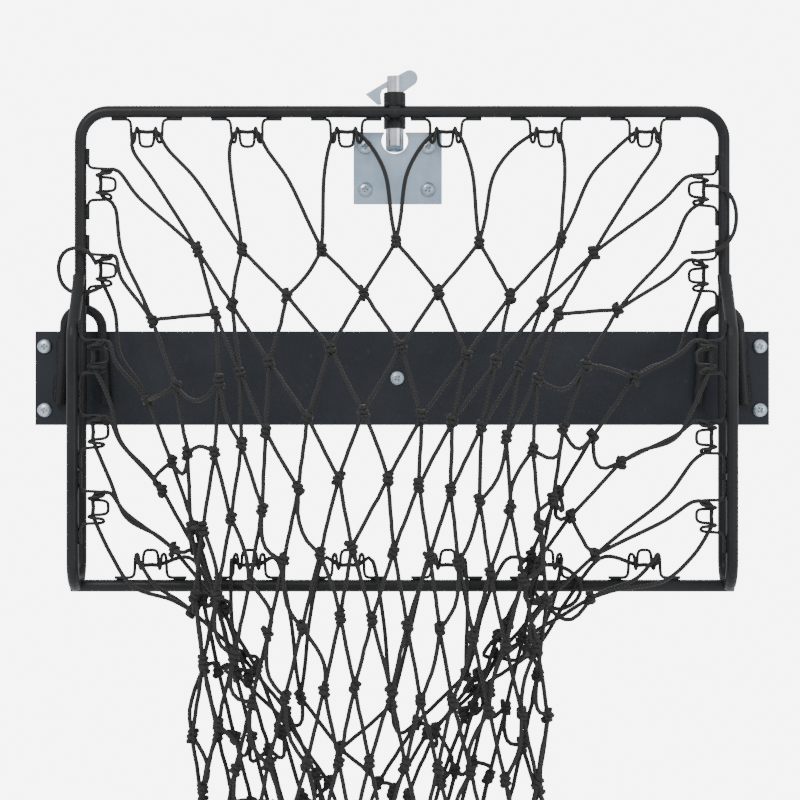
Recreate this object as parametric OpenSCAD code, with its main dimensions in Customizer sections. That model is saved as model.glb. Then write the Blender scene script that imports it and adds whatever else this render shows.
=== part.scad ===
// Wall-mounted folding net hoop, stowed upright against the wall.
// Origin: centre of the wall plate's back face. X to the right, Z up, the wall is the plane y = 0
// and the hoop stands in front of it, towards -Y.

/* [Hoop] */
// Diameter of the hoop's rod
rod_d = 9.5; // [8:0.5:12]
// Distance between the two side rails, centre to centre
rail_gap = 507.5; // [460:0.5:560]
// Height of the top bar's centre above the origin
top_z = 210; // [190:1:240]
// Depth of the bottom bar's centre below the origin
bottom_z = -162; // [-190:1:-150]
// Bend radius of the hoop's top corners, at the rod's centre
corner_r = 22; // [15:1:40]
// Distance of the rails' centre from the wall
rail_depth = 23.5; // [23:0.5:30]
// Distance between a rail and its guide bow, centre to centre
bow_offset = 42; // [34:1:50]

/* [Wall plate] */
// Length of the wall plate
plate_l = 586; // [560:1:640]
// Height of the wall plate
plate_h = 75; // [70:1:90]
// Thickness of the wall plate
plate_t = 3.2; // [3:0.1:6]
// Distance between the plate's screws, along the plate
screw_gap_x = 571; // [540:1:575]
// Distance between the plate's screws, up the plate
screw_gap_z = 50.8; // [40:0.1:56]

/* [Keepers] */
// Diameter of the keepers' rod
keeper_d = 8; // [6:0.5:9]
// Height of a keeper's top above the origin
keeper_top = 59; // [54:1:64]
// Width of a keeper's arch, centre to centre
keeper_w = 29.6; // [26:0.1:36]

/* [Latch] */
// Sideways place of the latch, from the middle of the hoop
latch_x = -6; // [-20:1:20]
// Diameter of the bolt's lower length
bolt_d = 14.3; // [12:0.1:15]
// Outside diameter of the latch collar
collar_d = 17.6; // [17:0.1:20]
// Thickness of the latch plate
latch_t = 6.35; // [5:0.05:8]

/* [Net] */
// Width of the hanging bag
bag_w = 270; // [200:5:320]
// Depth of the hanging bag, front to back
bag_depth = 90; // [60:5:120]
// Lowest point of the bag
bag_bottom = -560; // [-700:5:-400]

/* [Hidden] */
TOP_CLIPS = ["clip_top_1", "clip_top_2", "clip_top_3", "clip_top_4", "clip_top_5", "clip_top_6"];
BOTTOM_CLIPS = ["clip_bottom_1", "clip_bottom_2", "clip_bottom_3",
    "clip_bottom_4", "clip_bottom_5", "clip_bottom_6"];
LEFT_CLIPS = ["clip_left_1", "clip_left_2", "clip_left_3", "clip_left_4", "clip_left_5"];
RIGHT_CLIPS = ["clip_right_1", "clip_right_2", "clip_right_3", "clip_right_4", "clip_right_5"];
$fn = 48;

rod_r = rod_d / 2;
rail_x = rail_gap / 2;
rail_y = -rail_depth;
bar_y = rail_y - bow_offset / 2;
bow_y = rail_y - bow_offset;
slot_r = bow_offset / 2;
slot_z = bottom_z + slot_r;
joint_gap = 0.08;
bar_l = rail_gap + rod_d;
bow_bend_z = 29;
bow_bend_r = 15;
bow_lean = 37;
bow_foot_turn = 13.5;
bow_reach = bow_offset - bow_bend_r * (1 - cos(bow_lean)) - 7.5;

keeper_x = 254;
keeper_r = keeper_d / 2;
arch_r = keeper_w / 2;
arch_z = keeper_top - keeper_r - arch_r;
leg_y = -plate_t - keeper_r;
leg_low_z = -21;
weld_z = [22, -8];
weld_l = 15;
weld_d = 4.4;

screw_d = 5.6;
neck_d = 6;
head_d = 12;
head_h = 3.4;
shank_l = 28;
hole_d = 6.6;
mid_screw_x = -4;

latch_w = 70.5;
latch_h = 57;
latch_mid_x = latch_x + 2.4;
latch_top_z = 196;
latch_screw_x = -4.5;
latch_screw_z = 167.3;
latch_gap_x = 50;
latch_gap_z = 34;
notch_r = 10.5;
notch_z = 189.5;

collar_y = rail_y + rod_r + collar_d / 2 - 0.4;
collar_low = 198;
collar_top = 226.7;
bolt_low = 180;
bolt_step = 212;
bolt_top = 239.8;
bolt_neck_d = 12.7;
bolt_play = 0.06;
tip_rise = 4.4;
pivot_z = 234.2;
pin_d = 3;
lever_t = 2.4;
lever_slot = 2.7;
slot_drop = 19;
handle = [11.9, 4.3];
handle_r = 6.3;

wire_d = 2.6;
wire_r = wire_d / 2;
clip_gap = 0.3;
clip_low = -(rod_r + 24);
top_clip_pitch = 78.7;
top_clip_first = -201.6;
bottom_clip_pitch = 76.9;
bottom_clip_first = -196;
left_clip_z = [153, 85, 16, -42, -100];
right_clip_z = [148, 81, 16, -46, -107];

bag_top = -100;
bag_x = -24;
bag_back = bow_y - 4;
bag_wall = 3;

// A bend of rod in the XZ plane: it starts at [r, 0] going up, and turns towards -X.
module bend(r, angle, d) {
    rotate([90, 0, 0]) rotate_extrude(angle = angle) translate([r, 0]) circle(d = d);
}

// One pan-head screw: the head's underside is at y = 0, its smooth neck runs through a plate that is
// grip thick, and its shank runs on to +Y.
module pan_screw(grip) {
    difference() {
        union() {
            rotate([90, 0, 0]) cylinder(d = head_d, h = head_h * 0.5);
            translate([0, -head_h * 0.5, 0])
                rotate([90, 0, 0]) cylinder(d1 = head_d, d2 = head_d * 0.62, h = head_h * 0.5);
            rotate([-90, 0, 0]) cylinder(d = neck_d, h = grip);
            translate([0, grip, 0]) rotate([-90, 0, 0]) cylinder(d = screw_d, h = shank_l - 5);
            translate([0, grip + shank_l - 5, 0])
                rotate([-90, 0, 0]) cylinder(d1 = screw_d, d2 = 1, h = 5);
        }
        for (turn = [0, 90])
            rotate([0, turn, 0])
                translate([-2.9, -head_h - 1, -0.6]) cube([5.8, 2.6, 1.2]);
    }
}

module wall_plate() {
    color("#2b2f33")
    difference() {
        translate([-plate_l / 2, -plate_t, -plate_h / 2]) cube([plate_l, plate_t, plate_h]);
        for (sx = [-1, 1], sz = [-1, 1])
            translate([sx * screw_gap_x / 2, 1, sz * screw_gap_z / 2])
                rotate([90, 0, 0]) cylinder(d = hole_d, h = plate_t + 2);
        translate([mid_screw_x, 1, 0]) rotate([90, 0, 0]) cylinder(d = hole_d, h = plate_t + 2);
    }
}

// One hairpin keeper: two straight legs down the plate, and an arch above it.
module keeper() {
    color("#26282b")
    translate([0, leg_y, arch_z]) {
        for (side = [-1, 1])
            translate([side * arch_r, 0, leg_low_z - arch_z]) cylinder(d = keeper_d, h = arch_z - leg_low_z);
        bend(arch_r, 180, keeper_d);
    }
}

// Weld beads down the outer side of a keeper's outer leg; side is -1 at the left.
module keeper_weld(side) {
    color("#232527")
    for (z = weld_z)
        translate([side * (keeper_x + arch_r + keeper_r), -plate_t - 1, z - weld_l / 2])
            cylinder(d = weld_d, h = weld_l);
}

module wall_screws() {
    color("#c3ccd2")
    for (sx = [-1, 1], sz = [-1, 1])
        translate([sx * screw_gap_x / 2, -plate_t, sz * screw_gap_z / 2])
            rotate([0, 25 * sx + 15 * sz, 0]) pan_screw(plate_t);
    translate([mid_screw_x, -plate_t, 0]) pan_screw(plate_t);
}

module latch_plate() {
    color("#aebbc9")
    difference() {
        translate([latch_mid_x - latch_w / 2, -latch_t, latch_top_z - latch_h])
            cube([latch_w, latch_t, latch_h]);
        translate([latch_x, 1, notch_z]) rotate([90, 0, 0]) cylinder(r = notch_r, h = latch_t + 2);
        for (sx = [-1, 1], sz = [-1, 1])
            translate([latch_screw_x + sx * latch_gap_x / 2, 1, latch_screw_z + sz * latch_gap_z / 2])
                rotate([90, 0, 0]) cylinder(d = hole_d, h = latch_t + 2);
    }
}

module latch_screws() {
    color("#c3ccd2")
    for (sx = [-1, 1], sz = [-1, 1])
        translate([latch_screw_x + sx * latch_gap_x / 2, -latch_t, latch_screw_z + sz * latch_gap_z / 2])
            rotate([0, 20 * sx - 35 * sz, 0]) pan_screw(latch_t);
}

module bottom_bar() {
    color("#26282b")
    translate([-bar_l / 2, bar_y, bottom_z]) rotate([0, 90, 0]) cylinder(d = rod_d, h = bar_l);
}

// The room that the hoop's feet leave round the bottom bar, so that they turn on it.
module bar_clearance() {
    translate([-bar_l / 2 - 5, bar_y, bottom_z])
        rotate([0, 90, 0]) cylinder(d = rod_d + 2 * joint_gap, h = bar_l + 10);
}

// The quarter bend at the foot of a rail, from the bar up to the rail.
module foot_bend() {
    translate([0, bar_y, slot_z]) rotate([0, 0, 90]) mirror([0, 0, 1]) bend(slot_r, 90, rod_d);
}

module hoop_rod() {
    color("#26282b")
    difference() {
        union() {
            for (side = [-1, 1])
                translate([side * rail_x, 0, 0]) {
                    translate([0, rail_y, slot_z]) cylinder(d = rod_d, h = top_z - corner_r - slot_z);
                    foot_bend();
                }
            translate([rail_x - corner_r, rail_y, top_z - corner_r]) bend(corner_r, 90, rod_d);
            mirror([1, 0, 0])
                translate([rail_x - corner_r, rail_y, top_z - corner_r]) bend(corner_r, 90, rod_d);
            translate([corner_r - rail_x, rail_y, top_z])
                rotate([0, 90, 0]) cylinder(d = rod_d, h = rail_gap - 2 * corner_r);
        }
        bar_clearance();
    }
}

// A rod of radius r swept along a path of points in the XZ plane, with a section of so many sides.
module swept(path, r, sides) {
    last = len(path) - 1;
    points = [for (i = [0:last], k = [0:sides - 1])
        let (run = path[min(i + 1, last)] - path[max(i - 1, 0)],
             dir = run / norm(run),
             out = r * cos(360 * k / sides))
        [path[i][0] - dir[1] * out, r * sin(360 * k / sides), path[i][1] + dir[0] * out]];
    walls = [for (i = [0:last - 1], k = [0:sides - 1])
        let (next = (k + 1) % sides)
        [i * sides + k, i * sides + next, (i + 1) * sides + next, (i + 1) * sides + k]];
    polyhedron(points, concat([[for (k = [sides - 1:-1:0]) k]], walls,
        [[for (k = [0:sides - 1]) last * sides + k]]));
}

// A guide bow: from the bar it curls up, runs beside the rail, and leans back to its weld on the rail.
module guide_bow(side) {
    foot = [for (turn = [bow_foot_turn:(90 - bow_foot_turn) / 7:90.01])
        [bar_y - slot_r * sin(turn), slot_z - slot_r * cos(turn)]];
    shoulder = [for (turn = [0:bow_lean / 4:bow_lean + 0.01])
        [bow_y + bow_bend_r * (1 - cos(turn)), bow_bend_z + bow_bend_r * sin(turn)]];
    end = shoulder[4] + bow_reach * [1, 1 / tan(bow_lean)];
    color("#26282b")
    translate([side * rail_x, 0, 0]) rotate([0, 0, 90])
        swept(concat(foot, shoulder, [end]), rod_r, 20);
}

module latch_collar() {
    color("#232527")
    translate([latch_x, collar_y, collar_low])
        difference() {
            cylinder(d = collar_d, h = collar_top - collar_low);
            translate([0, 0, -1]) cylinder(d = bolt_d + 2 * bolt_play, h = collar_top - collar_low + 2);
        }
}

module latch_bolt() {
    color("#d5dde2")
    translate([latch_x, collar_y, 0])
        difference() {
            union() {
                translate([0, 0, bolt_low]) cylinder(d = bolt_d, h = bolt_step - bolt_low);
                translate([0, 0, bolt_step]) cylinder(d = bolt_neck_d, h = bolt_top - bolt_step);
            }
            translate([-bolt_d, -lever_slot / 2, pivot_z - slot_drop])
                cube([2 * bolt_d, lever_slot, slot_drop + 10]);
            translate([0, 10, pivot_z]) rotate([90, 0, 0]) cylinder(d = pin_d, h = 20);
            translate([0, -bolt_d / 2, bolt_low + tip_rise])
                rotate([-17, 0, 0]) translate([-bolt_d, -bolt_d, -12]) cube([2 * bolt_d, 3 * bolt_d, 12]);
        }
}

module lever_pin() {
    color("#9aa4ab")
    translate([latch_x, collar_y + bolt_neck_d / 2 - 0.2, pivot_z])
        rotate([90, 0, 0]) cylinder(d = pin_d, h = bolt_neck_d - 0.4);
}

// The lever: a flat tab with a round thumb end at the right and a notched wedge at the left.
module latch_lever() {
    color("#c4d2df")
    translate([latch_x, collar_y + lever_t / 2, pivot_z])
        rotate([90, 0, 0])
            difference() {
                union() {
                    linear_extrude(lever_t)
                        polygon([[-23.1, -8.6], [-13.6, -17], [-10.6, -16.6], [-11.4, -9], [-10.2, -5.1],
                                 [-6.4, -3.2], [-4, -6.7], [7.1, -6.7], [15.95, -0.5], [11.9, 4.3],
                                 [9.2, 10], [-6.4, 1.6]]);
                    translate(handle) cylinder(r = handle_r, h = lever_t);
                }
                translate([0, 0, -1]) cylinder(d = pin_d + 0.12, h = lever_t + 2);
            }
}

// One net clip in the XZ plane, under a rod along X: tabs, stems, side curls and a middle U.
// The wire follows the points of one half and their mirror images.
module clip() {
    tab_z = -rod_r - wire_r;
    half = [[-28, tab_z], [-15.5, tab_z], [-13.2, tab_z - 2], [-12.4, -19], [-11, -23.6], [-9.2, -22.4],
            [-8.2, -14.2], [-7, -12.8], [-5.9, -14.5], [-5.4, -23], [-3.6, clip_low + wire_r]];
    color("#2b2d2b")
        swept(concat(half, [for (i = [len(half) - 1:-1:0]) [-half[i][0], half[i][1]]]), wire_r, 8);
}

// The net's bag as a plain open-topped sleeve with a closed foot; its edges are round.
module net() {
    module stadium(inset) {
        r = bag_depth / 2 - inset;
        for (side = [-1, 1])
            translate([side * (bag_w - bag_depth) / 2, 0]) circle(r = r);
        square([bag_w - bag_depth, 2 * r], center = true);
    }
    color("#1f2124")
    translate([bag_x, bag_back - bag_depth / 2, bag_bottom])
        difference() {
            linear_extrude(bag_top - bag_bottom) stadium(0);
            translate([0, 0, bag_wall]) linear_extrude(bag_top - bag_bottom) stadium(bag_wall);
        }
}

wall_plate();
translate([-keeper_x, 0, 0]) keeper();  // keeper_left
translate([keeper_x, 0, 0]) keeper();  // keeper_right
keeper_weld(-1);  // keeper_weld_left
keeper_weld(1);  // keeper_weld_right
wall_screws();
latch_plate();
latch_screws();
bottom_bar();
hoop_rod();
guide_bow(-1);  // guide_bow_left
guide_bow(1);  // guide_bow_right
latch_collar();
latch_bolt();
lever_pin();
latch_lever();
net();
for (i = [0:5]) {
    translate([top_clip_first + i * top_clip_pitch, rail_y, top_z]) clip();
    translate([bottom_clip_first + i * bottom_clip_pitch, bar_y, bottom_z + clip_gap])
            rotate([0, 180, 0]) clip();
}
for (i = [0:4]) {
    translate([-rail_x, i < 2 ? rail_y : bow_y, left_clip_z[i]]) rotate([0, -90, 0]) clip();
    translate([rail_x, i < 2 ? rail_y : bow_y, right_clip_z[i]]) rotate([0, 90, 0]) clip();
}
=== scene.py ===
import math
import random

import bmesh
import bpy
import numpy as np
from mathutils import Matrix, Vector


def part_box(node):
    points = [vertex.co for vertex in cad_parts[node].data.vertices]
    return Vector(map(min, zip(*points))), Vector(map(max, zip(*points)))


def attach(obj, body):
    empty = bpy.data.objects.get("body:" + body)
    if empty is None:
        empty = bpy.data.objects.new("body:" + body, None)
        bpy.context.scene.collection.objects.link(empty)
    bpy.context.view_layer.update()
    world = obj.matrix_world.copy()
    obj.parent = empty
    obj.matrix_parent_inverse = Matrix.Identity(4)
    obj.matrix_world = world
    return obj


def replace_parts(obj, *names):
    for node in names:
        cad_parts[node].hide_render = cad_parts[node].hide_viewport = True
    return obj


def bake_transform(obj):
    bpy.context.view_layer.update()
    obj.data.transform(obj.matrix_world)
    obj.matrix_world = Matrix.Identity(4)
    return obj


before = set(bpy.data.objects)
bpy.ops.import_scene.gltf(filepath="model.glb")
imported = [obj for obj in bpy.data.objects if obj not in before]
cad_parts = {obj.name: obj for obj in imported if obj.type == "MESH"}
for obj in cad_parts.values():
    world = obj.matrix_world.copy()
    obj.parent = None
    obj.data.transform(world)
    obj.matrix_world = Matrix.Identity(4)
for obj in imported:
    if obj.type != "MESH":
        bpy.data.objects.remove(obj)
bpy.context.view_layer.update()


# The camera stands squarely in front of the hoop, about arm's length and a half away, level with
# the middle of its opening.
view_distance = 1.70
view_width = 0.640

camera_data = bpy.data.cameras.new("front_camera")
camera_data.sensor_width = 36.0
camera_data.lens = 36.0 * view_distance / view_width
camera = bpy.data.objects.new("front_camera", camera_data)
camera.location = (-0.0018, -view_distance, -0.0174)
camera.rotation_euler = (math.radians(90), 0, 0)
bpy.context.scene.collection.objects.link(camera)
bpy.context.scene.camera = camera


# A plain pale floor lies below the bag and ends soon behind the hoop, in a white studio. Three soft
# boxes light the hoop, and the white air fills in.
floor_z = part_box("net")[0][2] - 0.06
floor_x = 2.4
floor_front = -2.6
floor_back = 1.25
floor_mesh = bpy.data.meshes.new("studio_floor")
floor_mesh.from_pydata([(-floor_x, floor_front, floor_z), (floor_x, floor_front, floor_z),
                        (floor_x, floor_back, floor_z), (-floor_x, floor_back, floor_z)], [], [(0, 1, 2, 3)])
studio_floor = bpy.data.objects.new("studio_floor", floor_mesh)
bpy.context.scene.collection.objects.link(studio_floor)
floor_paint = bpy.data.materials.new("floor_paint")
floor_paint.use_nodes = True
floor_shader = floor_paint.node_tree.nodes["Principled BSDF"]
floor_shader.inputs["Base Color"].default_value = (0.93, 0.93, 0.93, 1)
floor_shader.inputs["Roughness"].default_value = 0.9
floor_mesh.materials.append(floor_paint)

world = bpy.data.worlds.new("studio_air")
world.use_nodes = True
world.node_tree.nodes["Background"].inputs["Color"].default_value = (1.0, 1.0, 1.0, 1)
air_tree = world.node_tree
seen_directly = air_tree.nodes.new("ShaderNodeLightPath").outputs["Is Camera Ray"]
air_strength = air_tree.nodes.new("ShaderNodeMapRange")
air_strength.inputs["To Min"].default_value = 1.05
air_strength.inputs["To Max"].default_value = 7.0
air_tree.links.new(seen_directly, air_strength.inputs["Value"])
air_tree.links.new(air_strength.outputs["Result"], air_tree.nodes["Background"].inputs["Strength"])
bpy.context.scene.world = world


def soft_light(name, place, target, size, watts):
    """A square soft box at place that faces target."""
    data = bpy.data.lights.new(name, "AREA")
    data.size = size
    data.energy = watts
    lamp = bpy.data.objects.new(name, data)
    lamp.location = place
    lamp.rotation_euler = (Vector(target) - Vector(place)).to_track_quat("-Z", "Y").to_euler()
    bpy.context.scene.collection.objects.link(lamp)


soft_light("key_light", (-0.9, -1.9, 1.5), (0, 0, 0), 0.9, 26)
soft_light("fill_light", (1.6, -1.6, 0.3), (0, 0, -0.1), 1.2, 8)
soft_light("back_light", (0.4, 1.8, 1.6), (0, 0, 0), 1.4, 20)


# The steel pieces' black powder coat: rod, bows, collar, keepers and clips. It is baked on, so it has
# a fine orange peel, slightly uneven gloss, and a thin greyish rub where it is handled.
def shader_group(name, floats, outputs):
    """An empty shader node group that has these named float inputs and (name, type) outputs."""
    group = bpy.data.node_groups.new(name, "ShaderNodeTree")
    for label, value in floats.items():
        socket = group.interface.new_socket(label, in_out="INPUT", socket_type="NodeSocketFloat")
        socket.default_value = value
    for label, kind in outputs:
        group.interface.new_socket(label, in_out="OUTPUT", socket_type=kind)
    entry = group.nodes.new("NodeGroupInput")
    leave = group.nodes.new("NodeGroupOutput")
    return group, entry, leave


def node(tree, kind, links=None, **values):
    """A node in tree; links gives its inputs from sockets or constants, values its properties."""
    made = tree.nodes.new(kind)
    for label, value in values.items():
        setattr(made, label, value)
    for label, value in (links or {}).items():
        if isinstance(value, bpy.types.NodeSocket):
            tree.links.new(value, made.inputs[label])
        else:
            made.inputs[label].default_value = value
    return made


def ramp(tree, fac, stops):
    """A colour ramp on fac with (place, grey level) stops."""
    made = node(tree, "ShaderNodeValToRGB", {"Fac": fac})
    elements = made.color_ramp.elements
    for i, (place, level) in enumerate(stops):
        stop = elements[i] if i < 2 else elements.new(place)
        stop.position = place
        stop.color = (level, level, level, 1)
    return made.outputs["Color"]


# Fine surface relief and a slow cloudy mask, on Object coordinates.
grain, grain_in, grain_out = shader_group(
    "surface_grain",
    {"Relief Scale": 900.0, "Relief": 0.2, "Cloud Scale": 12.0},
    [("Clouds", "NodeSocketFloat"), ("Specks", "NodeSocketFloat"), ("Normal", "NodeSocketVector")])
place = node(grain, "ShaderNodeTexCoord").outputs["Object"]
relief = node(grain, "ShaderNodeTexNoise",
              {"Vector": place, "Scale": grain_in.outputs["Relief Scale"], "Detail": 2.0})
clouds = node(grain, "ShaderNodeTexNoise",
              {"Vector": place, "Scale": grain_in.outputs["Cloud Scale"], "Detail": 5.0, "Roughness": 0.6})
specks = node(grain, "ShaderNodeTexNoise", {"Vector": place, "Scale": 240.0, "Detail": 3.0})
lift = node(grain, "ShaderNodeBump",
            {"Height": relief.outputs["Fac"], "Strength": grain_in.outputs["Relief"], "Distance": 0.0004})
grain.links.new(clouds.outputs["Fac"], grain_out.inputs["Clouds"])
grain.links.new(specks.outputs["Fac"], grain_out.inputs["Specks"])
grain.links.new(lift.outputs["Normal"], grain_out.inputs["Normal"])


def material(name):
    """A new node material; returns it, its tree and its Principled shader."""
    made = bpy.data.materials.new(name)
    made.use_nodes = True
    return made, made.node_tree, made.node_tree.nodes["Principled BSDF"]


def mix_colour(tree, fac, first, second):
    """Mixes two colours by fac; a plain tuple is a constant colour."""
    mixed = tree.nodes.new("ShaderNodeMix")
    mixed.data_type = "RGBA"
    tree.links.new(fac, mixed.inputs[0])
    for socket, value in ((mixed.inputs[6], first), (mixed.inputs[7], second)):
        if isinstance(value, bpy.types.NodeSocket):
            tree.links.new(value, socket)
        else:
            socket.default_value = (*value, 1)
    return mixed.outputs[2]


def powder_coat(name, dark, worn, gloss, relief_scale=900.0, relief_height=0.35):
    """Black powder coat from dark to a slightly rubbed worn tone."""
    made, tree, shader = material(name)
    touch = node(tree, "ShaderNodeGroup", node_tree=grain)
    touch.inputs["Relief Scale"].default_value = relief_scale
    touch.inputs["Relief"].default_value = relief_height
    rub = ramp(tree, touch.outputs["Clouds"], [(0.42, 0.0), (0.75, 1.0)])
    tone = mix_colour(tree, rub, dark, worn)
    dusty = ramp(tree, touch.outputs["Specks"], [(0.66, 0.0), (0.8, 0.5)])
    tone = mix_colour(tree, dusty, tone, tuple(2.2 * c for c in worn))
    tree.links.new(tone, shader.inputs["Base Color"])
    rough = node(tree, "ShaderNodeMapRange",
                 {"Value": touch.outputs["Clouds"], "To Min": gloss - 0.07, "To Max": gloss + 0.12})
    tree.links.new(rough.outputs["Result"], shader.inputs["Roughness"])
    tree.links.new(touch.outputs["Normal"], shader.inputs["Normal"])
    shader.inputs["Specular IOR Level"].default_value = 0.22
    return made


rod_coat = powder_coat("rod_powder_coat", (0.010, 0.0105, 0.012), (0.022, 0.023, 0.025), 0.34)
plate_coat = powder_coat("plate_powder_coat", (0.014, 0.017, 0.022), (0.022, 0.026, 0.033), 0.42, 700.0, 0.25)
weld_coat = powder_coat("weld_powder_coat", (0.009, 0.0095, 0.010), (0.020, 0.020, 0.020), 0.40, 420.0, 0.7)


def dress(name, coat):
    """Gives a CAD node that stays in sight its material."""
    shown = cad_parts[name].data
    shown.materials.clear()
    shown.materials.append(coat)


def edged(name, body, coat, width, angle=35):
    """A merged copy of a CAD node with its edges rounded to width, in the node's place."""
    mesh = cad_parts[name].data.copy()
    mesh.name = name + "_edged"
    sculpt = bmesh.new()
    sculpt.from_mesh(mesh)
    bmesh.ops.remove_doubles(sculpt, verts=sculpt.verts, dist=0.00001)
    bmesh.ops.dissolve_limit(sculpt, angle_limit=math.radians(0.5), verts=sculpt.verts, edges=sculpt.edges)
    sculpt.to_mesh(mesh)
    sculpt.free()
    mesh.materials.clear()
    mesh.materials.append(coat)
    mesh.shade_smooth()
    made = bpy.data.objects.new(name + "_edged", mesh)
    bpy.context.scene.collection.objects.link(made)
    rounded = made.modifiers.new("rounded", "BEVEL")
    rounded.width = width
    rounded.segments = 2
    rounded.limit_method = "ANGLE"
    rounded.angle_limit = math.radians(angle)
    flats = made.modifiers.new("flats", "WEIGHTED_NORMAL")
    flats.keep_sharp = True
    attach(made, body)
    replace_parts(made, name)
    return made


dress("hoop_rod", rod_coat)
dress("guide_bow_left", rod_coat)
dress("guide_bow_right", rod_coat)
edged("bottom_bar", "hinge_bar", rod_coat, 0.0008)


# The wall plate is a flat steel bar with a light factory edge, under a satin black powder coat. It lies
# on the wall and carries both keepers.
edged("wall_plate", "wall_mount", plate_coat, 0.0006)


# Each keeper is one hairpin of round rod: its legs spread a little down the plate, and its arch
# leans off the wall above the plate's top edge. It is made by sweeping a circle along its bent line.
def geometry_tree(name, inputs):
    """A Geometry Nodes tree with a Geometry input and output and (name, type, value) inputs."""
    tree = bpy.data.node_groups.new(name, "GeometryNodeTree")
    tree.interface.new_socket("Geometry", in_out="INPUT", socket_type="NodeSocketGeometry")
    for label, kind, value in inputs:
        socket = tree.interface.new_socket(label, in_out="INPUT", socket_type=kind)
        if value is not None:
            socket.default_value = value
    tree.interface.new_socket("Geometry", in_out="OUTPUT", socket_type="NodeSocketGeometry")
    return tree, tree.nodes.new("NodeGroupInput"), tree.nodes.new("NodeGroupOutput")


def grow(obj, tree, **inputs):
    """Runs a Geometry Nodes tree on obj with these inputs, and makes the result obj's plain mesh."""
    modifier = obj.modifiers.new("grown", "NODES")
    modifier.node_group = tree
    for item in tree.interface.items_tree:
        if item.item_type == "SOCKET" and item.in_out == "INPUT" and item.name in inputs:
            modifier[item.identifier] = inputs[item.name]
    bpy.context.view_layer.update()
    result = obj.evaluated_get(bpy.context.evaluated_depsgraph_get())
    grown = bpy.data.meshes.new_from_object(result)
    obj.modifiers.remove(modifier)
    obj.data = grown
    return obj


# A round section swept along every open line of edges. "along" keeps the distance from the line's
# start, and "ring_a" and "ring_b" the place around the section, so that a lay can follow the cord.
sweep_tree, sweep_in, sweep_out = geometry_tree("round_sweep", [
    ("Radius", "NodeSocketFloat", 0.002), ("Sides", "NodeSocketInt", 12),
    ("Finish", "NodeSocketMaterial", None)])
line = node(sweep_tree, "GeometryNodeMeshToCurve", {"Mesh": sweep_in.outputs["Geometry"]})
travel = node(sweep_tree, "GeometryNodeSplineParameter")
marked = node(sweep_tree, "GeometryNodeStoreNamedAttribute",
              {"Geometry": line.outputs["Curve"], "Name": "along", "Value": travel.outputs["Length"]},
              data_type="FLOAT", domain="POINT")
section = node(sweep_tree, "GeometryNodeCurvePrimitiveCircle",
               {"Resolution": sweep_in.outputs["Sides"], "Radius": sweep_in.outputs["Radius"]})
spot = node(sweep_tree, "ShaderNodeSeparateXYZ",
            {"Vector": node(sweep_tree, "GeometryNodeInputPosition").outputs["Position"]})
ring_a = node(sweep_tree, "GeometryNodeStoreNamedAttribute",
              {"Geometry": section.outputs["Curve"], "Name": "ring_a", "Value": spot.outputs["X"]},
              data_type="FLOAT", domain="POINT")
ring_b = node(sweep_tree, "GeometryNodeStoreNamedAttribute",
              {"Geometry": ring_a.outputs["Geometry"], "Name": "ring_b", "Value": spot.outputs["Y"]},
              data_type="FLOAT", domain="POINT")
swept = node(sweep_tree, "GeometryNodeCurveToMesh",
             {"Curve": marked.outputs["Geometry"], "Profile Curve": ring_b.outputs["Geometry"],
              "Fill Caps": True})
smooth = node(sweep_tree, "GeometryNodeSetShadeSmooth", {"Geometry": swept.outputs["Mesh"]})
real = node(sweep_tree, "GeometryNodeRealizeInstances", {"Geometry": smooth.outputs["Geometry"]})
faced = node(sweep_tree, "GeometryNodeSetMaterial",
             {"Geometry": real.outputs["Geometry"], "Material": sweep_in.outputs["Finish"]})
sweep_tree.links.new(faced.outputs["Geometry"], sweep_out.inputs["Geometry"])


def lines_object(name, lines, attributes=None):
    """An object of open lines of edges. attributes gives float values, one for each point of each line."""
    points, edges = [], []
    for points_of_line in lines:
        first = len(points)
        points.extend(points_of_line)
        edges.extend((first + i, first + i + 1) for i in range(len(points_of_line) - 1))
    mesh = bpy.data.meshes.new(name)
    mesh.from_pydata([tuple(p) for p in points], edges, [])
    for label, values in (attributes or {}).items():
        layer = mesh.attributes.new(label, "FLOAT", "POINT")
        layer.data.foreach_set("value", np.array(values, np.float32))
    obj = bpy.data.objects.new(name, mesh)
    bpy.context.scene.collection.objects.link(obj)
    return obj


def smooth_line(corners, step):
    """A smooth line through corners (Catmull-Rom), with points about step apart."""
    corners = [Vector(c) for c in corners]
    padded = [2 * corners[0] - corners[1]] + corners + [2 * corners[-1] - corners[-2]]
    line_points = []
    for a, b, c, d in zip(padded, padded[1:], padded[2:], padded[3:]):
        pieces = max(2, round((c - b).length / step))
        for i in range(pieces):
            t = i / pieces
            line_points.append(0.5 * (2 * b + (c - a) * t + (2 * a - 5 * b + 4 * c - d) * t * t
                                      + (3 * b - a - 3 * c + d) * t * t * t))
    return line_points + [corners[-1]]


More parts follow.
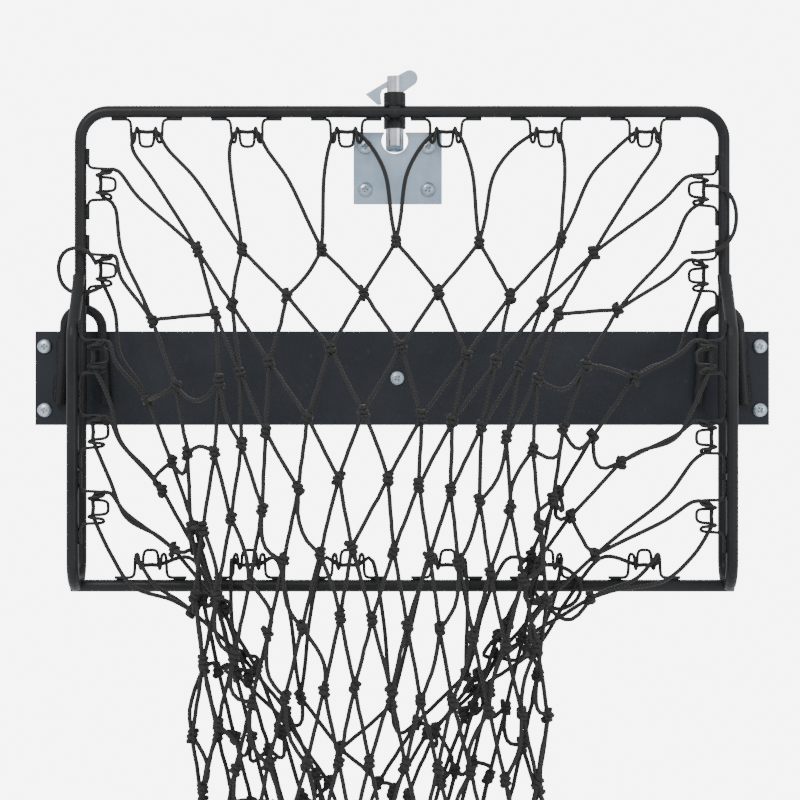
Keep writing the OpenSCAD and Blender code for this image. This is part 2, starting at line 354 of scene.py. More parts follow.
keeper_r = 0.004
for side, label in ((-1, "left"), (1, "right")):
    low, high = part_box("keeper_" + label)
    mid_x = (low[0] + high[0]) / 2
    leg_y = (low[1] + high[1]) / 2
    arch_r = (high[0] - low[0]) / 2 - keeper_r
    arch_z = high[2] - keeper_r - arch_r
    foot_spread = 0.0038
    arch_lean = 0.0045
    hairpin = [(mid_x - arch_r - foot_spread, leg_y, low[2]), (mid_x - arch_r - 0.0016, leg_y, 0.012)]
    for step in range(13):
        turn = math.pi * (1 - step / 12)
        rise = math.sin(turn)
        hairpin.append((mid_x + arch_r * math.cos(turn), leg_y - arch_lean * rise, arch_z + arch_r * rise))
    hairpin += [(mid_x + arch_r + 0.0016, leg_y, 0.012), (mid_x + arch_r + foot_spread, leg_y, low[2])]
    keeper = lines_object("keeper_hairpin_" + label, [smooth_line(hairpin, 0.004)])
    grow(keeper, sweep_tree, Radius=keeper_r, Sides=20, Finish=rod_coat)
    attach(keeper, "wall_mount")
    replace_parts(keeper, "keeper_" + label)


# Weld beads are rows of small overlapping ripples of metal under the coat. They hold the keepers to
# the plate, the bows and the bar to the rails, the collar to the top bar, and the clips to the rod.
bead_tree, bead_in, bead_out = geometry_tree("weld_ripples", [
    ("Size", "NodeSocketFloat", 0.0022), ("Seed", "NodeSocketInt", 3),
    ("Finish", "NodeSocketMaterial", None)])
dots = node(bead_tree, "GeometryNodeMeshToPoints", {"Mesh": bead_in.outputs["Geometry"]})
ripple = node(bead_tree, "GeometryNodeMeshIcoSphere", {"Radius": bead_in.outputs["Size"], "Subdivisions": 3})
uneven = node(bead_tree, "FunctionNodeRandomValue", {"Seed": bead_in.outputs["Seed"]}, data_type="FLOAT")
# The float pair of a Random Value node is its second one, after the vector pair.
uneven.inputs[2].default_value = 0.78
uneven.inputs[3].default_value = 1.16
laid = node(bead_tree, "GeometryNodeInstanceOnPoints",
            {"Points": dots.outputs["Points"], "Instance": ripple.outputs["Mesh"],
             "Scale": uneven.outputs[1]})
bead_real = node(bead_tree, "GeometryNodeRealizeInstances", {"Geometry": laid.outputs["Instances"]})
bead_smooth = node(bead_tree, "GeometryNodeSetShadeSmooth", {"Geometry": bead_real.outputs["Geometry"]})
bead_faced = node(bead_tree, "GeometryNodeSetMaterial",
                  {"Geometry": bead_smooth.outputs["Geometry"], "Material": bead_in.outputs["Finish"]})
bead_tree.links.new(bead_faced.outputs["Geometry"], bead_out.inputs["Geometry"])


def beads(name, rows, size, body, stands_for=()):
    """Weld beads along rows of points, on one body."""
    made = lines_object(name, rows)
    grow(made, bead_tree, Size=size, Finish=weld_coat)
    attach(made, body)
    if stands_for:
        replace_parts(made, *stands_for)
    return made


def row(start, end, step):
    """Points from start to end about step apart."""
    start, end = Vector(start), Vector(end)
    count = max(1, round((end - start).length / step))
    return [start.lerp(end, i / count) for i in range(count + 1)]


bead_step = 0.0016
for side, label in ((-1, "left"), (1, "right")):
    low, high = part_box("keeper_" + label)
    outer_x = high[0] if side > 0 else low[0]
    plate_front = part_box("wall_plate")[0][1]
    rows = []
    for top, out in ((0.030, 0.0006), (0.000, 0.0030)):
        rows.append(row((outer_x + side * out, plate_front - 0.0008, top),
                        (outer_x + side * (out + 0.0007), plate_front - 0.0008, top - 0.016), bead_step))
    beads("keeper_welds_" + label, rows, 0.0023, "wall_mount", ["keeper_weld_" + label])


# The bows are welded to the rails where they come back to them, and the rails and bows to the bar.
# The beads are laid on both sides of each joint, under the same black coat.
rod_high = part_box("hoop_rod")[1]
rod_r = 0.00475
rail_x = rod_high[0] - rod_r
rail_y = rod_high[1] - rod_r
top_z = rod_high[2] - rod_r
bar_low, bar_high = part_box("bottom_bar")
bar_y = (bar_low[1] + bar_high[1]) / 2
bar_z = (bar_low[2] + bar_high[2]) / 2
bow_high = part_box("guide_bow_left")[1]
rows = []
for side in (-1, 1):
    for out in (-0.0036, 0.0036):
        rows.append(row((side * rail_x + out, rail_y - 0.0036, bow_high[2] - 0.003),
                        (side * rail_x + out * 0.8, rail_y - 0.0052, bow_high[2] - 0.019), bead_step))
    for front in (-1, 1):
        middle = bar_y + front * 0.0035
        rows.append(row((side * rail_x - 0.004, middle, bar_z + 0.0043),
                        (side * rail_x + 0.004, middle, bar_z + 0.0043), bead_step))
beads("bow_welds", rows, 0.0021, "hoop")


# The net clips are round wire, bent to a flat tab at each end, two curls that turn out of plane, and
# a U in the middle that the cord runs through. The tabs are welded along the inside of the rod.
clip_coat = powder_coat("clip_powder_coat", (0.010, 0.011, 0.010), (0.024, 0.026, 0.024), 0.36, 1100.0, 0.3)
clip_half = [(-28.0, 6.0, 0), (-21.5, 6.0, 0), (-15.8, 6.1, 0), (-13.4, 7.6, 0), (-12.5, 11.0, 0),
             (-12.2, 18.5, 0), (-11.7, 23.0, -0.6), (-10.4, 24.6, -2.0), (-9.0, 23.2, -3.6),
             (-8.4, 18.5, -4.4), (-8.0, 14.6, -3.8), (-7.3, 12.9, -2.4), (-6.5, 14.2, -1.0),
             (-5.9, 18.0, -0.2), (-5.6, 23.0, 0), (-4.5, 26.3, 0), (-2.4, 27.4, 0), (0, 27.5, 0)]
wire_r = 0.0013


def clip_seat(name):
    """Where a clip sits: the rod's middle behind it, the way along the rod, and the way to the cord."""
    low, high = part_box(name)
    middle = (low + high) / 2
    if name.startswith("clip_top"):
        return Vector((middle[0], rail_y, top_z)), Vector((1, 0, 0)), Vector((0, 0, -1))
    if name.startswith("clip_bottom"):
        return Vector((middle[0], bar_y, bar_z + 0.0003)), Vector((-1, 0, 0)), Vector((0, 0, 1))
    side = -1 if name.startswith("clip_left") else 1
    return Vector((side * rail_x, middle[1], middle[2])), Vector((0, 0, -side)), Vector((-side, 0, 0))


seat_names = (["clip_top_%d" % i for i in range(1, 7)]
              + ["clip_right_%d" % i for i in range(1, 6)]
              + ["clip_bottom_%d" % i for i in range(6, 0, -1)]
              + ["clip_left_%d" % i for i in range(5, 0, -1)])
seats = [clip_seat(name) for name in seat_names]
clip_random = random.Random(11)
wires, tab_rows = [], []
for middle, along, inward in seats:
    lean = clip_random.uniform(-0.9, 0.9)
    pinch = clip_random.uniform(0.93, 1.05)
    wire = []
    for u, v, w in clip_half + [(-u, v, w) for u, v, w in reversed(clip_half[:-1])]:
        tilt = lean * max(0.0, v - 9) / 18
        curl = pinch if abs(u) < 9.5 else 1.0
        wire.append(middle + (along * (u * curl + tilt) + inward * v + Vector((0, 1, 0)) * w) / 1000)
    wires.append(smooth_line(wire, 0.0022))
    for end in (-1, 1):
        tab_rows.append(row(middle + along * (end * 0.0255) + inward * 0.0053,
                            middle + along * (end * 0.0190) + inward * 0.0053, bead_step))
clips = lines_object("net_clips", wires)
grow(clips, sweep_tree, Radius=wire_r, Sides=10, Finish=clip_coat)
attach(clips, "hoop")
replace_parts(clips, *seat_names)
beads("clip_tab_welds", tab_rows, 0.00165, "hoop")


# The net is knotted from one black braided cord. Long loops hang from the clips and meet in the first
# knots, and below them an even mesh of bars hangs as a long tube that is gathered and tied at its foot.
# It is hung here as a mesh of bars that only pull, under its own weight and a light pull to the bag's
# ring, so the bag keeps its width.
columns = len(seats)
rows_down = 14
cord_r = 0.00170
mesh_bar = 0.052
first_bar = 0.114
net_low, net_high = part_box("net")
net_middle = (net_low[0] + net_high[0]) / 2
net_half = (net_high[0] - net_low[0]) / 2 + 0.004
ring_y = (net_low[1] + net_high[1]) / 2
foot_z = net_low[2] + 0.012

net_random = np.random.default_rng(7)
anchors = np.array([tuple(middle + inward * 0.0165) for middle, along, inward in seats])
knots = np.zeros((rows_down, columns, 3))
ring = np.zeros((rows_down, columns, 3))
for r in range(rows_down):
    turn = (np.arange(columns) + 0.5 * (r % 2) - 2.5) / columns
    turn = (turn + 0.5) % 1.0 - 0.5
    fold = np.where(np.abs(turn) < 0.25, turn / 0.25, np.sign(turn) * (0.5 - np.abs(turn)) / 0.25)
    ring[r, :, 0] = net_middle + net_half * fold
    ring[r, :, 1] = ring_y - 0.030 * np.cos(2 * np.pi * turn)
for r in range(rows_down):
    mean = anchors if r % 2 == 0 else (anchors + np.roll(anchors, -1, axis=0)) / 2
    share = min(1.0, r / 5)
    knots[r] = (1 - share) * mean + share * ring[r]
    knots[r, :, 2] = mean[:, 2] - (0 if r == 0 else 0.07 + 0.046 * (r - 1))
knots[1:] += net_random.uniform(-0.004, 0.004, knots[1:].shape)
knots[..., 2] = np.maximum(knots[..., 2], foot_z)

first, second, limit = [], [], []
for r in range(rows_down - 1):
    for c in range(columns):
        for reach in ((0, -1) if r % 2 == 0 else (0, 1)):
            first.append(r * columns + c)
            second.append((r + 1) * columns + (c + reach) % columns)
            limit.append(first_bar if r == 0 else mesh_bar)
first, second = np.array(first), np.array(second)
limit = np.array(limit) * net_random.uniform(0.94, 1.06, len(limit))
limit[first < columns] *= net_random.uniform(0.90, 1.10, int((first < columns).sum()))

flat = knots.reshape(-1, 3)
ring_flat = ring.reshape(-1, 3)
row_of = np.repeat(np.arange(rows_down), columns)
pull = np.clip((row_of - 1) / 4, 0, 1)
free = (row_of > 0).astype(float)
ties = np.bincount(np.concatenate([first, second]), minlength=len(flat))
for swing in range(900):
    fall = 0.0010 if swing < 700 else 0.0003
    flat[:, 2] -= fall * free
    narrow = np.clip((flat[:, 2] - foot_z) / 0.11, 0.22, 1.0)
    flat[:, 0] += 0.09 * pull * (net_middle + (ring_flat[:, 0] - net_middle) * narrow - flat[:, 0])
    flat[:, 1] += 0.05 * pull * (ring_y + (ring_flat[:, 1] - ring_y) * narrow - flat[:, 1])
    for settle in range(6):
        gap = flat[second] - flat[first]
        far = np.linalg.norm(gap, axis=1) + 1e-9
        over = np.maximum(0.0, far - limit) / far
        step = gap * over[:, None] * 0.5
        push = np.zeros_like(flat)
        np.add.at(push, first, step)
        np.add.at(push, second, -step)
        flat += push / (0.55 * np.maximum(ties, 1))[:, None] * free[:, None]
    flat[:, 1] = np.minimum(flat[:, 1], np.where(flat[:, 2] < -0.12, -0.0540, -0.0300) * free
                            + (1 - free))
    flat[:, 2] = np.maximum(flat[:, 2], foot_z)
knots = flat.reshape(rows_down, columns, 3)


# The cord's skin is a tight black braid: two sets of strands that cross round the section, with a little
# fuzz.
# The strand crowns carry a painted highlight and the grooves between them painted shade. It has no gloss to
# speak of.
cord_dye_and_glint, cord_tree, cord_shader = material("black_braided_cord")
cord_place = {label: node(cord_tree, "ShaderNodeAttribute", attribute_name=label).outputs["Fac"]
              for label in ("along", "ring_a", "ring_b")}
angle = node(cord_tree, "ShaderNodeMath", {0: cord_place["ring_b"], 1: cord_place["ring_a"]},
             operation="ARCTAN2").outputs[0]
around = node(cord_tree, "ShaderNodeMath", {0: angle, 1: 3.0}, operation="MULTIPLY").outputs[0]
run = node(cord_tree, "ShaderNodeMath", {0: cord_place["along"], 1: 2200.0}, operation="MULTIPLY").outputs[0]
lays = []
for operation in ("ADD", "SUBTRACT"):
    phase = node(cord_tree, "ShaderNodeMath", {0: around, 1: run}, operation=operation).outputs[0]
    lays.append(node(cord_tree, "ShaderNodeMath", {0: phase}, operation="SINE").outputs[0])
braid = node(cord_tree, "ShaderNodeMath", {0: lays[0], 1: lays[1]}, operation="MAXIMUM").outputs[0]
# This mask is high on the strand crowns: it raises the bump and also places the painted highlight on the
# crowns.
strand_relief_and_glint = node(cord_tree, "ShaderNodeMapRange", {"Value": braid, "From Min": -0.4, "From Max": 1.0}).outputs[0]
cord_grain = node(cord_tree, "ShaderNodeGroup", node_tree=grain)
cord_grain.inputs["Relief Scale"].default_value = 2600.0
cord_grain.inputs["Relief"].default_value = 0.5
worn = ramp(cord_tree, cord_grain.outputs["Clouds"], [(0.4, 0.0), (0.7, 1.0)])
# The lighter tone on the strand crowns is a painted highlight, and the dark tone in the grooves is painted
# shade.
cord_tone_and_glint = mix_colour(cord_tree, strand_relief_and_glint, (0.0035, 0.0035, 0.004), (0.019, 0.019, 0.021))
cord_tone_and_glint = mix_colour(cord_tree, worn, cord_tone_and_glint, (0.013, 0.013, 0.014))
cord_tree.links.new(cord_tone_and_glint, cord_shader.inputs["Base Color"])
braid_lift = node(cord_tree, "ShaderNodeBump",
                  {"Height": strand_relief_and_glint, "Normal": cord_grain.outputs["Normal"], "Strength": 0.8,
                   "Distance": 0.0005})
cord_tree.links.new(braid_lift.outputs["Normal"], cord_shader.inputs["Normal"])
cord_shader.inputs["Roughness"].default_value = 0.62
cord_shader.inputs["Specular IOR Level"].default_value = 0.35
cord_shader.inputs["Sheen Weight"].default_value = 0.04


def bar_line(start, end, length, count, generator):
    """A cord from start to end: straight where it is taut, and in a soft bow where it is slack."""
    start, end = np.array(start), np.array(end)
    gap = end - start
    far = max(np.linalg.norm(gap), 1e-6)
    slack = max(0.0, length - far)
    bow = min(0.45 * math.sqrt(slack * far), 0.011)
    across = np.cross(gap / far, (0, 1, 0))
    side = across * generator.uniform(-1, 1) + np.array((0, -0.5, 0)) * generator.uniform(0.2, 1)
    side = side / max(np.linalg.norm(side), 1e-6) + np.array((0, 0, -0.5))
    made = []
    for i in range(count):
        t = i / (count - 1)
        made.append(start + gap * t + side * bow * math.sin(math.pi * t) + generator.normal(0, 0.00018, 3))
    made[0], made[-1] = start, end
    return made


def loop_side(leave, outward, inward, knot):
    """One side of a clip's loop: it leaves the clip sideways, bellies out and drops to the knot."""
    across = knot - leave
    slack = max(0.0, first_bar - across.length)
    room = max(0.012, across.dot(outward))
    belly = min(0.004 + 0.5 * math.sqrt(slack * first_bar), 0.34 * room)
    near = leave + outward * belly + inward * 0.008 + across * 0.06
    wide = leave + across * 0.40 + outward * belly + Vector((0, -0.003, -0.001))
    late = leave + across * 0.78 + outward * belly * 0.30
    return [leave, near, wide, late, knot]


# The upper knots swing with the hoop and the lower ones hang with the bag. Only the cords that join
# an upper knot or a clip to a lower knot change over, each along its own length.
parting_z = 0.012
on_hoop = flat[:, 2] > parting_z
on_hoop[:columns] = True
hoop_lines, bag_lines = [], []
joining = {}


def join_cord(key, line_points, start, end):
    """Puts a changing cord in its group and keeps where the change starts and ends."""
    group = joining.setdefault(key, {"lines": [], "starts": [], "ends": []})
    group["lines"].append(line_points)
    group["starts"].append(Vector(tuple(start)))
    group["ends"].append(Vector(tuple(end)))


for c, (middle, along, inward) in enumerate(seats):
    spots = [middle + (along * u + inward * v + Vector((0, 1, 0)) * w) / 1000
             for u, v, w in ((-9.6, 17.2, -1.2), (-5.6, 15.6, 1.0), (0, 15.9, 1.8), (5.6, 15.6, 1.0),
                             (9.6, 17.2, -1.2))]
    before, after = (c - 1) % columns + columns, c + columns
    sides = ((spots[2::-1], -along, before, "before"), (spots[2:], along, after, "after"))
    for through, outward, knot, label in sides:
        outside = loop_side(through[-1], outward, inward, Vector(tuple(flat[knot])))
        loop = smooth_line(through[:-1] + outside, 0.0035)
        if on_hoop[knot]:
            hoop_lines.append(loop)
        elif seat_names[c].startswith("clip_bottom"):
            join_cord("bottom", loop, through[-1], flat[knot])
        else:
            join_cord(seat_names[c][5:] + "_" + label, loop, through[-1], flat[knot])

# Three slack turns of cord have slipped over the frame: at the left rail, the right rail and the bar.
slack_turns = [
    [(-0.240, -0.031, 0.089), (-0.246, -0.034, 0.098), (-0.256, -0.0335, 0.102), (-0.266, -0.032, 0.098),
     (-0.270, -0.0315, 0.087), (-0.267, -0.032, 0.074), (-0.258, -0.0335, 0.067), (-0.246, -0.035, 0.067),
     (-0.232, -0.037, 0.073)],
    [(0.238, -0.031, 0.151), (0.248, -0.033, 0.150), (0.257, -0.0325, 0.144), (0.262, -0.0315, 0.132),
     (0.261, -0.0315, 0.116), (0.253, -0.033, 0.104), (0.240, -0.035, 0.099), (0.226, -0.038, 0.098)],
    [(0.104, -0.052, -0.147), (0.116, -0.0535, -0.145), (0.130, -0.0545, -0.150), (0.138, -0.055, -0.161),
     (0.134, -0.0555, -0.173), (0.121, -0.0565, -0.179), (0.107, -0.058, -0.172), (0.098, -0.060, -0.158)]]
hoop_lines += [smooth_line(turn, 0.0035) for turn in slack_turns]
clamped = flat[:, 2] <= foot_z + 0.0005
for a, b, length in zip(first, second, limit):
    if a < columns or (clamped[a] and clamped[b]):
        continue
    bar = [Vector(tuple(p)) for p in bar_line(flat[a], flat[b], length, 8, net_random)]
    if on_hoop[a] and on_hoop[b]:
        hoop_lines.append(bar)
    elif not on_hoop[a] and not on_hoop[b]:
        bag_lines.append(bar)
    else:
        upper, lower = (flat[a], flat[b]) if on_hoop[a] else (flat[b], flat[a])
        level = round((upper[2] + lower[2]) / 2 / 0.016)
        join_cord("level_%d" % (level + 10), bar, upper, lower)


def net_piece(name, lines, body=None):
    """One piece of the net's cord from these lines."""
    made = lines_object(name, lines)
    grow(made, sweep_tree, Radius=cord_r, Sides=7, Finish=cord_dye_and_glint)
    if body:
        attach(made, body)
    return made


net_piece("net_cords_hoop", hoop_lines, "hoop")
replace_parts(net_piece("net_cords_bag", bag_lines, "bag"), "net")
for key, group in sorted(joining.items()):
    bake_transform(net_piece("net_join_" + key, group["lines"]))


# Each knot is the cord wrapped twice and a half round the bars that it ties, so it stands as a small
# upright lump. The foot of the net is drawn together and tied in one heavier lashing.
knot_tree, knot_in, knot_out = geometry_tree("wrapped_knots", [
    ("Wraps", "NodeSocketFloat", 2.5), ("Wrap Radius", "NodeSocketFloat", 0.0027),
    ("Height", "NodeSocketFloat", 0.0090), ("Cord Radius", "NodeSocketFloat", 0.0021),
    ("Seed", "NodeSocketInt", 5), ("Finish", "NodeSocketMaterial", None)])
knot_dots = node(knot_tree, "GeometryNodeMeshToPoints", {"Mesh": knot_in.outputs["Geometry"]})
wrap = node(knot_tree, "GeometryNodeCurveSpiral",
            {"Resolution": 6, "Rotations": knot_in.outputs["Wraps"],
             "Start Radius": knot_in.outputs["Wrap Radius"],
             "End Radius": knot_in.outputs["Wrap Radius"], "Height": knot_in.outputs["Height"]})
wrap_travel = node(knot_tree, "GeometryNodeSplineParameter")
wrap_marked = node(knot_tree, "GeometryNodeStoreNamedAttribute",
                   {"Geometry": wrap.outputs["Curve"], "Name": "along",
                    "Value": wrap_travel.outputs["Length"]},
                   data_type="FLOAT", domain="POINT")
wrap_section = node(knot_tree, "GeometryNodeCurvePrimitiveCircle",
                    {"Resolution": 6, "Radius": knot_in.outputs["Cord Radius"]})
wrap_spot = node(knot_tree, "ShaderNodeSeparateXYZ",
                 {"Vector": node(knot_tree, "GeometryNodeInputPosition").outputs["Position"]})
wrap_a = node(knot_tree, "GeometryNodeStoreNamedAttribute",
              {"Geometry": wrap_section.outputs["Curve"], "Name": "ring_a", "Value": wrap_spot.outputs["X"]},
              data_type="FLOAT", domain="POINT")
wrap_b = node(knot_tree, "GeometryNodeStoreNamedAttribute",
              {"Geometry": wrap_a.outputs["Geometry"], "Name": "ring_b", "Value": wrap_spot.outputs["Y"]},
              data_type="FLOAT", domain="POINT")
wrapped = node(knot_tree, "GeometryNodeCurveToMesh",
               {"Curve": wrap_marked.outputs["Geometry"], "Profile Curve": wrap_b.outputs["Geometry"],
                "Fill Caps": True})
centred = node(knot_tree, "GeometryNodeTransform", {"Geometry": wrapped.outputs["Mesh"]})
half_drop = node(knot_tree, "ShaderNodeMath", {0: knot_in.outputs["Height"], 1: -0.5}, operation="MULTIPLY")
drop = node(knot_tree, "ShaderNodeCombineXYZ", {"Z": half_drop.outputs[0]})
knot_tree.links.new(drop.outputs[0], centred.inputs["Translation"])
knot_turn = node(knot_tree, "FunctionNodeRandomValue", {"Seed": knot_in.outputs["Seed"]},
                 data_type="FLOAT_VECTOR")
knot_turn.inputs[0].default_value = (-0.45, -0.45, 0.0)
knot_turn.inputs[1].default_value = (0.45, 0.45, 6.28)
tied = node(knot_tree, "GeometryNodeInstanceOnPoints",
            {"Points": knot_dots.outputs["Points"], "Instance": centred.outputs["Geometry"],
             "Rotation": knot_turn.outputs[0]})
knot_real = node(knot_tree, "GeometryNodeRealizeInstances", {"Geometry": tied.outputs["Instances"]})
knot_smooth = node(knot_tree, "GeometryNodeSetShadeSmooth", {"Geometry": knot_real.outputs["Geometry"]})
knot_faced = node(knot_tree, "GeometryNodeSetMaterial",
                  {"Geometry": knot_smooth.outputs["Geometry"], "Material": knot_in.outputs["Finish"]})
knot_tree.links.new(knot_faced.outputs["Geometry"], knot_out.inputs["Geometry"])

knot_rows = np.arange(len(flat)) >= columns
for name, body, chosen in (("net_knots_hoop", "hoop", knot_rows & on_hoop),
                           ("net_knots_bag", "bag", knot_rows & ~on_hoop & ~clamped)):
    net_knots = lines_object(name, [[Vector(tuple(point))] for point in flat[chosen]])
    grow(net_knots, knot_tree, Finish=cord_dye_and_glint)
    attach(net_knots, body)

foot_points = flat[clamped]
foot_middle = Vector((float(foot_points[:, 0].mean()), float(foot_points[:, 1].mean()), foot_z + 0.004))
foot_wide = float(np.abs(foot_points[:, 0] - foot_middle[0]).max())
foot_deep = float(np.abs(foot_points[:, 1] - foot_middle[1]).max())
lashing = []
for step in range(181):
    turn = 2 * math.pi * step / 36
    lashing.append(foot_middle + Vector(((foot_wide + 0.001) * math.cos(turn),
                                         (foot_deep + 0.001) * math.sin(turn), 0.0032 * (step / 36 - 2.5))))
foot_tie = lines_object("foot_tie", [lashing])
grow(foot_tie, sweep_tree, Radius=cord_r, Sides=7, Finish=cord_dye_and_glint)
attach(foot_tie, "bag")


# The latch plate is a bright zinc-plated flat, cut with a round notch for the bolt and screwed to the
# wall. Its plating is cloudy, bluish, and faintly brushed along its length.
def zinc(name, pale, deep, low, high, brushed=(1.0, 1.0, 1.0)):
    """Bright zinc plating that drifts between a pale and a deep tone, with a roughness range."""
    made, tree, shader = material(name)
    touch = node(tree, "ShaderNodeGroup", node_tree=grain)
    touch.inputs["Relief Scale"].default_value = 500.0
    touch.inputs["Relief"].default_value = 0.08
    touch.inputs["Cloud Scale"].default_value = 38.0
    here = node(tree, "ShaderNodeTexCoord").outputs["Object"]
    drawn = node(tree, "ShaderNodeMapping", {"Vector": here, "Scale": brushed})
    lines = node(tree, "ShaderNodeTexNoise",
                 {"Vector": drawn.outputs["Vector"], "Scale": 160.0, "Detail": 3.0})
    tone = mix_colour(tree, ramp(tree, touch.outputs["Clouds"], [(0.35, 0.0), (0.68, 1.0)]), pale, deep)
    faint = ramp(tree, lines.outputs["Fac"], [(0.35, 0.0), (0.75, 0.35)])
    tone = mix_colour(tree, faint, tone, tuple(0.8 * c for c in deep))
    tree.links.new(tone, shader.inputs["Base Color"])
    rough = node(tree, "ShaderNodeMapRange", {"Value": lines.outputs["Fac"], "To Min": low, "To Max": high})
    tree.links.new(rough.outputs["Result"], shader.inputs["Roughness"])
    tree.links.new(touch.outputs["Normal"], shader.inputs["Normal"])
    shader.inputs["Metallic"].default_value = 1.0
    return made


plate_zinc = zinc("blue_zinc_plate", (0.44, 0.54, 0.65), (0.31, 0.41, 0.53), 0.30, 0.48, (1.0, 1.0, 0.08))
bolt_zinc = zinc("bright_zinc_bolt", (0.66, 0.70, 0.74), (0.46, 0.50, 0.55), 0.18, 0.32, (1.0, 1.0, 6.0))
lever_zinc = zinc("pale_zinc_lever", (0.52, 0.63, 0.73), (0.40, 0.51, 0.62), 0.26, 0.42)
screw_zinc = zinc("zinc_screw_head", (0.55, 0.63, 0.71), (0.38, 0.46, 0.54), 0.22, 0.38)
edged("latch_plate", "wall_mount", plate_zinc, 0.0006)


# The gravity bolt is turned bar that slides in a short black collar. It is slotted at the top for a
# flat lever on a pin, and its lower end is cut to a slant.
edged("latch_bolt", "bolt", bolt_zinc, 0.0005)
edged("latch_lever", "lever", lever_zinc, 0.0004)
dress("lever_pin", bolt_zinc)
edged("latch_collar", "hoop", rod_coat, 0.0005)
collar_low, collar_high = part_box("latch_collar")
collar_x = (collar_low[0] + collar_high[0]) / 2
rows = [row((collar_x + side * 0.0062, rail_y - rod_r + 0.0008, top_z + 0.0052),
            (collar_x + side * 0.0048, rail_y - rod_r + 0.0058, top_z + 0.0052), bead_step)
        for side in (-1, 1)]
rows += [[spot + Vector((0, 0, -0.0104)) for spot in line_points] for line_points in rows]
beads("collar_welds", rows, 0.0016, "hoop")


# The screws have zinc-plated pan heads, turned and then struck with a crossed recess. Five hold the
# wall plate to the wall, and four the latch plate.
head_r = 0.006
head_h = 0.0034
shank_r = 0.0026
mid_screw_x = -0.004


def pan_head_mesh():
    """One pan head: a turned dome with a crossed recess cut in it, its underside at y = 0."""
    outline = [(0.0, -head_h), (0.0022, -0.00335), (0.0040, -0.0029), (0.0052, -0.0021), (0.0058, -0.0012),
               (head_r, -0.0005), (0.0059, -0.0001), (0.0056, 0.0), (0.0, 0.0)]
    turned = bmesh.new()
    sides = 32
    rings = []
    for distance, depth in outline:
        if distance == 0.0:
            rings.append([turned.verts.new((0, depth, 0))])
            continue
        rings.append([turned.verts.new((distance * math.cos(2 * math.pi * i / sides), depth,
                                        distance * math.sin(2 * math.pi * i / sides))) for i in range(sides)])
    for near, far in zip(rings, rings[1:]):
        for i in range(sides):
            after = (i + 1) % sides
            ends = [near[0]] if len(near) == 1 else [near[i], near[after]]
            ends += [far[0]] if len(far) == 1 else [far[after], far[i]]
            turned.faces.new(ends)
    bmesh.ops.recalc_face_normals(turned, faces=turned.faces)
    head = bpy.data.meshes.new("pan_head")
    turned.to_mesh(head)
    turned.free()
    cutter = bmesh.new()
    for length, width in ((0.0029, 0.00055), (0.00055, 0.0029)):
        corners = []
        for depth, taper in ((-0.0042, 1.15), (-0.0012, 0.35)):
            long_x = length * (taper if length > width else 1)
            long_z = width * (taper if width > length else 1)
            corners.append([cutter.verts.new((sx * long_x, depth, sz * long_z))
                            for sx, sz in ((-1, -1), (1, -1), (1, 1), (-1, 1))])
        cutter.faces.new(corners[0])
        cutter.faces.new(corners[1])
        for i in range(4):
            cutter.faces.new((corners[0][i], corners[0][(i + 1) % 4], corners[1][(i + 1) % 4], corners[1][i]))
    bmesh.ops.recalc_face_normals(cutter, faces=cutter.faces)
    cross = bpy.data.meshes.new("crossed_cutter")
    cutter.to_mesh(cross)
    cutter.free()
    head_obj = bpy.data.objects.new("pan_head_blank", head)
    cross_obj = bpy.data.objects.new("crossed_cutter", cross)
    for made in (head_obj, cross_obj):
        bpy.context.scene.collection.objects.link(made)
    cut = head_obj.modifiers.new("recess", "BOOLEAN")
    cut.operation = "DIFFERENCE"
    cut.solver = "EXACT"
    cut.use_self = True
    cut.object = cross_obj
    bpy.context.view_layer.update()
    shaped = bpy.data.meshes.new_from_object(head_obj.evaluated_get(bpy.context.evaluated_depsgraph_get()))
    bpy.data.objects.remove(head_obj)
    bpy.data.objects.remove(cross_obj)
    return shaped


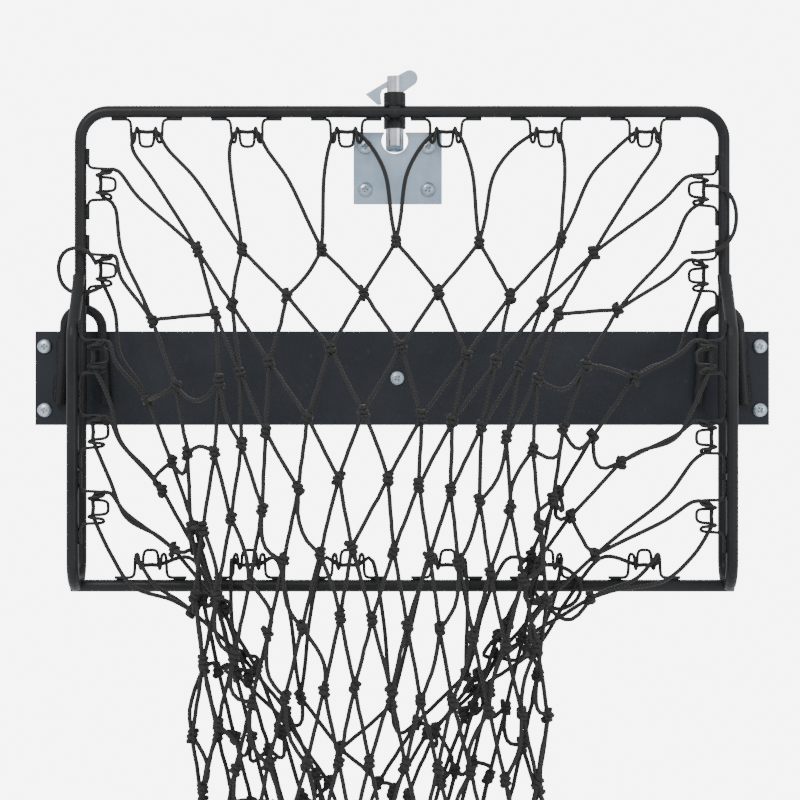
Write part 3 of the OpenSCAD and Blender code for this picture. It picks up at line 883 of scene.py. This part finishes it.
screw_tree, screw_in, screw_out = geometry_tree("pan_head_screws", [
    ("Head", "NodeSocketObject", None), ("Seed", "NodeSocketInt", 2), ("Finish", "NodeSocketMaterial", None)])
screw_dots = node(screw_tree, "GeometryNodeMeshToPoints", {"Mesh": screw_in.outputs["Geometry"]})
screw_info = node(screw_tree, "GeometryNodeObjectInfo", {"Object": screw_in.outputs["Head"]})
screw_turn = node(screw_tree, "FunctionNodeRandomValue", {"Seed": screw_in.outputs["Seed"]},
                  data_type="FLOAT_VECTOR")
screw_turn.inputs[0].default_value = (0.0, 0.0, 0.0)
screw_turn.inputs[1].default_value = (0.0, 1.57, 0.0)
screw_laid = node(screw_tree, "GeometryNodeInstanceOnPoints",
                  {"Points": screw_dots.outputs["Points"], "Instance": screw_info.outputs["Geometry"],
                   "Rotation": screw_turn.outputs[0]})
screw_real = node(screw_tree, "GeometryNodeRealizeInstances", {"Geometry": screw_laid.outputs["Instances"]})
screw_smooth = node(screw_tree, "GeometryNodeSetShadeSmooth",
                    {"Geometry": screw_real.outputs["Geometry"], "Shade Smooth": False})
screw_faced = node(screw_tree, "GeometryNodeSetMaterial",
                   {"Geometry": screw_smooth.outputs["Geometry"], "Material": screw_in.outputs["Finish"]})
screw_tree.links.new(screw_faced.outputs["Geometry"], screw_out.inputs["Geometry"])

head_blank = bpy.data.objects.new("screw_blank", pan_head_mesh())
bpy.context.scene.collection.objects.link(head_blank)
wall_low, wall_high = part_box("wall_screws")
latch_low, latch_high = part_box("latch_screws")
for name, low, high, extra in (("wall_screws", wall_low, wall_high, [(mid_screw_x, 0.0)]),
                               ("latch_screws", latch_low, latch_high, [])):
    seat_y = low[1] + head_h
    spots = [(x, z) for x in (low[0] + head_r, high[0] - head_r) for z in (low[2] + head_r, high[2] - head_r)]
    heads = lines_object(name + "_heads", [[(x, seat_y, z)] for x, z in spots + extra])
    grow(heads, screw_tree, Head=head_blank, Finish=screw_zinc)
    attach(heads, "wall_mount")
    shanks = lines_object(name + "_shanks", [[(x, seat_y, z), (x, high[1] - 0.004, z), (x, high[1], z)]
                                             for x, z in spots + extra])
    grow(shanks, sweep_tree, Radius=shank_r, Sides=14, Finish=screw_zinc)
    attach(shanks, "wall_mount")
    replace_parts(shanks, name)
bpy.data.objects.remove(head_blank)
